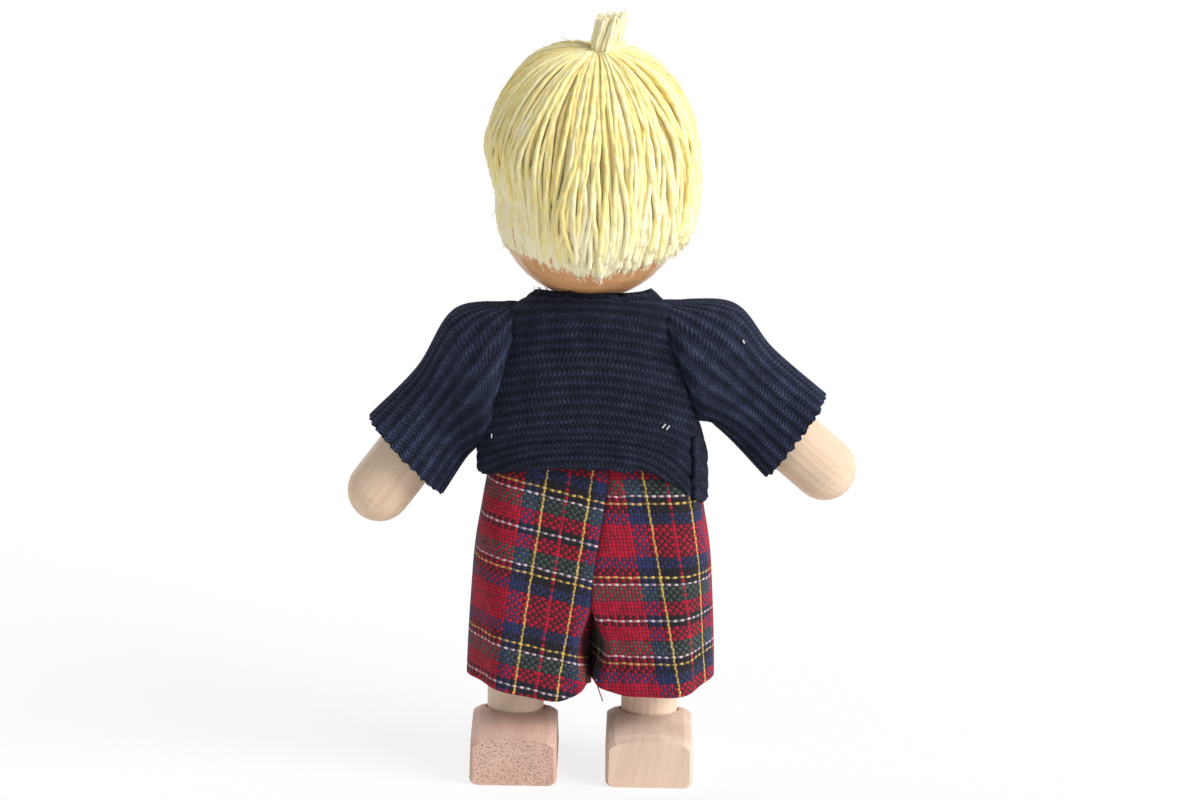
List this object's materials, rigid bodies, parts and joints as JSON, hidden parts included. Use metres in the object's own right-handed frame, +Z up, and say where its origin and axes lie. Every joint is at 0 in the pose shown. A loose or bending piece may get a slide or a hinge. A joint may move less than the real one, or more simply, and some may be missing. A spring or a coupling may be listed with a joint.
{
  "type": "miniature doll",
  "caption": "Strung wooden dollhouse doll with a turned head, yarn hair, rib-knit sweater and tartan shorts; head, arms and legs turn and stay where they are put.",
  "frame": {"origin": "on the ground, under the middle of the bounding box, the doll standing on its soles", "axes": "+Z up along the height; the doll faces -Y; +X is the doll's left"},
  "size_m": [0.0714, 0.0283, 0.1088],
  "materials": {
    "beech": "bare, fine sanded",
    "varnished_wood": "clear satin varnish",
    "yarn": "twisted cotton yarn",
    "thread": "sewing thread",
    "navy_knit": "rib knit",
    "tartan": "plain-woven tartan",
    "elastic": "covered round elastic",
    "steel": "bright wire"
  },
  "bodies": {
    "torso": {"torso": "beech", "neck": "beech", "neck_pin": "steel", "waist_pin": "steel", "arm_elastic": "elastic", "neck_elastic": "elastic", "leg_elastic_left": "elastic", "leg_elastic_right": "elastic", "sweater_body": "navy_knit", "shorts_waist": "tartan"},
    "head": {"head": "varnished_wood", "head_pin": "steel", "hair": "yarn", "hair_tuft": "yarn", "hair_tie": "thread"},
    "shoulder_left": {"arm_pin_left": "steel"},
    "shoulder_right": {"arm_pin_right": "steel"},
    "arm_left": {"arm_left": "beech", "sleeve_left": "navy_knit"},
    "arm_right": {"arm_right": "beech", "sleeve_right": "navy_knit"},
    "leg_left": {"leg_left": "beech", "foot_left": "beech", "hip_pin_left": "steel", "shorts_left": "tartan"},
    "leg_right": {"leg_right": "beech", "foot_right": "beech", "hip_pin_right": "steel", "shorts_right": "tartan"}
  },
  "joints": [
    {"name": "head_turn", "type": "hinge", "parent": "torso", "child": "head", "pos_m": [0.00218, -0.0008, 0.0804], "axis": [0, 0, 1], "range_deg": [-120, 120], "deforming": ["neck_elastic"]},
    {"name": "shoulder_swing_left", "type": "hinge", "parent": "torso", "child": "shoulder_left", "pos_m": [0.01528, -0.0008, 0.0607], "axis": [-1, 0, 0], "range_deg": [-60, 150], "deforming": ["sleeve_left", "arm_elastic"]},
    {"name": "shoulder_raise_left", "type": "hinge", "parent": "shoulder_left", "child": "arm_left", "pos_m": [0.01528, -0.0008, 0.0607], "axis": [0, -1, 0], "range_deg": [-7, 103], "deforming": ["sleeve_left"]},
    {"name": "shoulder_swing_right", "type": "hinge", "parent": "torso", "child": "shoulder_right", "pos_m": [-0.01092, -0.0008, 0.0607], "axis": [-1, 0, 0], "range_deg": [-60, 150], "deforming": ["sleeve_right", "arm_elastic"]},
    {"name": "shoulder_raise_right", "type": "hinge", "parent": "shoulder_right", "child": "arm_right", "pos_m": [-0.01092, -0.0008, 0.0607], "axis": [0, 1, 0], "range_deg": [-20, 90], "deforming": ["sleeve_right"]},
    {"name": "hip_swing_left", "type": "hinge", "parent": "torso", "child": "leg_left", "pos_m": [0.01168, -0.0008, 0.035], "axis": [-1, 0, 0], "range_deg": [-20, 90], "deforming": ["shorts_left"]},
    {"name": "hip_swing_right", "type": "hinge", "parent": "torso", "child": "leg_right", "pos_m": [-0.00732, -0.0008, 0.035], "axis": [-1, 0, 0], "range_deg": [-20, 90], "deforming": ["shorts_right"]}
  ]
}
